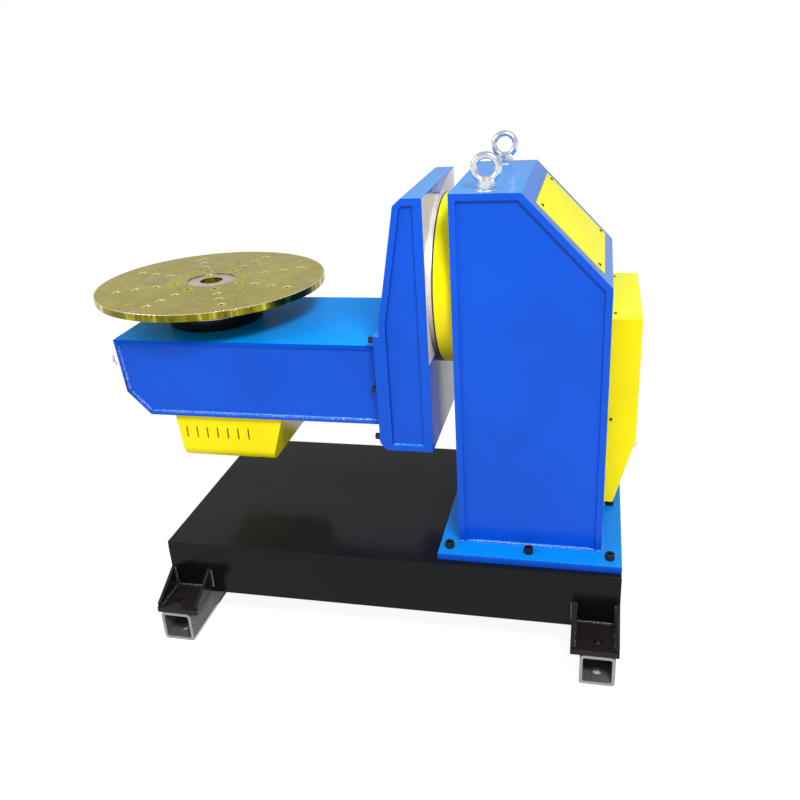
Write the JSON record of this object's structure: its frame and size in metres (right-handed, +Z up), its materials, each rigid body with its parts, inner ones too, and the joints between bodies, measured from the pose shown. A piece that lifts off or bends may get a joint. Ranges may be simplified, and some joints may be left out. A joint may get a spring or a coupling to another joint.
{
  "type": "welding positioner",
  "caption": "L-shaped two-axis welding positioner: a tilting arm on a column carries a round faceplate; plinth with fork feet.",
  "frame": {"origin": "on the floor, under the middle of the plinth, at the centre of the four anchor holes", "axes": "+Z up; +X from the faceplate towards the column, along the tilt axis; +Y to the back, so the part faces -Y"},
  "size_m": [1.8708, 1.094, 1.593],
  "materials": {
    "frame_black": "gloss",
    "fork_steel": "satin",
    "column_blue": "gloss",
    "cover_yellow": "gloss",
    "plated_gold": "satin, turned",
    "machined_steel": "machined",
    "bearing_steel": "ground",
    "zinc": "zinc plated",
    "black_bolts": "black oxide",
    "gearbox_grey": "satin",
    "motor_black": "matt",
    "riser_dark": "satin",
    "brass": "satin",
    "carbon": "matt"
  },
  "bodies": {
    "base": {"fork_tubes": "fork_steel", "anchor_plates": "frame_black", "foot_gussets": "frame_black", "base_top_plate": "frame_black", "base_side_plates": "frame_black", "base_stiffeners": "frame_black", "column_flange": "column_blue", "column_front_plate": "column_blue", "column_top_plate": "column_blue", "column_back_plate": "column_blue", "column_side_plates": "column_blue", "column_bolts": "black_bolts", "column_lifting_eyes": "zinc", "access_cover": "cover_yellow", "rear_cover": "cover_yellow", "rear_cover_frame": "cover_yellow", "rear_cover_lock": "zinc", "cover_screws": "black_bolts", "bearing_seat_plate": "machined_steel", "tilt_guard_ring": "cover_yellow", "tilt_bearing_outer_ring": "bearing_steel", "tilt_drive_bolts": "black_bolts", "tilt_gearbox": "gearbox_grey", "tilt_gearbox_bearing": "bearing_steel", "tilt_motor": "motor_black"},
    "arm": {"tilt_flange": "machined_steel", "tilt_flange_bolts": "black_bolts", "tilt_bearing_gear_ring": "bearing_steel", "upright_face_plate": "column_blue", "upright_back_plate": "column_blue", "upright_end_plates": "column_blue", "upright_side_plates": "column_blue", "beam_flange": "column_blue", "joint_bolts": "black_bolts", "beam_top_plate": "column_blue", "beam_bottom_plate": "column_blue", "beam_end_plates": "column_blue", "beam_side_plates": "column_blue", "arm_lifting_eyes": "zinc", "motor_tray": "cover_yellow", "motor_tray_screws": "black_bolts", "table_riser": "riser_dark", "table_bearing_outer_ring": "bearing_steel", "table_bearing_bolts": "black_bolts", "table_drive_bolts": "black_bolts", "table_gearbox": "gearbox_grey", "table_gearbox_bearing": "bearing_steel", "table_motor": "motor_black", "brush_holder": "brass", "earth_brush": "carbon"},
    "turntable": {"faceplate": "plated_gold", "table_hub": "machined_steel", "table_bearing_gear_ring": "bearing_steel", "faceplate_bolts": "black_bolts"},
    "tilt_ball_train": {"tilt_bearing_balls": "bearing_steel"},
    "tilt_drive_pinion": {"tilt_pinion": "bearing_steel"},
    "tilt_rotor": {"tilt_motor_rotor": "machined_steel"},
    "table_ball_train": {"table_bearing_balls": "bearing_steel"},
    "table_drive_pinion": {"table_pinion": "bearing_steel"},
    "table_rotor": {"table_motor_rotor": "machined_steel"}
  },
  "joints": [
    {"name": "tilt", "type": "hinge", "parent": "base", "child": "arm", "pos_m": [0.172, 0, 1.16], "axis": [1, 0, 0], "range_deg": [-180, 180]},
    {"name": "table_spin", "type": "hinge", "parent": "arm", "child": "turntable", "pos_m": [-0.66, 0, 1.149], "axis": [0, 0, 1], "continuous": true},
    {"name": "tilt_ball_roll", "type": "hinge", "parent": "base", "child": "tilt_ball_train", "pos_m": [0.22, 0, 1.16], "axis": [1, 0, 0], "range_deg": [-90, 90]},
    {"name": "tilt_pinion_spin", "type": "hinge", "parent": "base", "child": "tilt_drive_pinion", "pos_m": [0.22, 0, 1.031], "axis": [1, 0, 0], "range_deg": [-696, 696]},
    {"name": "tilt_motor_spin", "type": "hinge", "parent": "base", "child": "tilt_rotor", "pos_m": [0.5, 0, 1.031], "axis": [1, 0, 0], "range_deg": [-6960, 6960]},
    {"name": "table_ball_roll", "type": "hinge", "parent": "arm", "child": "table_ball_train", "pos_m": [-0.66, 0, 1.071], "axis": [0, 0, 1], "continuous": true},
    {"name": "table_pinion_spin", "type": "hinge", "parent": "arm", "child": "table_drive_pinion", "pos_m": [-0.588, 0, 1.07], "axis": [0, 0, 1], "continuous": true},
    {"name": "table_motor_spin", "type": "hinge", "parent": "arm", "child": "table_rotor", "pos_m": [-0.588, 0, 0.8], "axis": [0, 0, 1], "continuous": true}
  ],
  "couplings": [
    {"joint": "tilt_ball_roll", "follows": "tilt", "ratio": 0.472},
    {"joint": "tilt_pinion_spin", "follows": "tilt", "ratio": 3.8667},
    {"joint": "tilt_motor_spin", "follows": "tilt", "ratio": 38.667},
    {"joint": "table_ball_roll", "follows": "table_spin", "ratio": 0.47},
    {"joint": "table_pinion_spin", "follows": "table_spin", "ratio": 3.25},
    {"joint": "table_motor_spin", "follows": "table_spin", "ratio": 32.5}
  ]
}
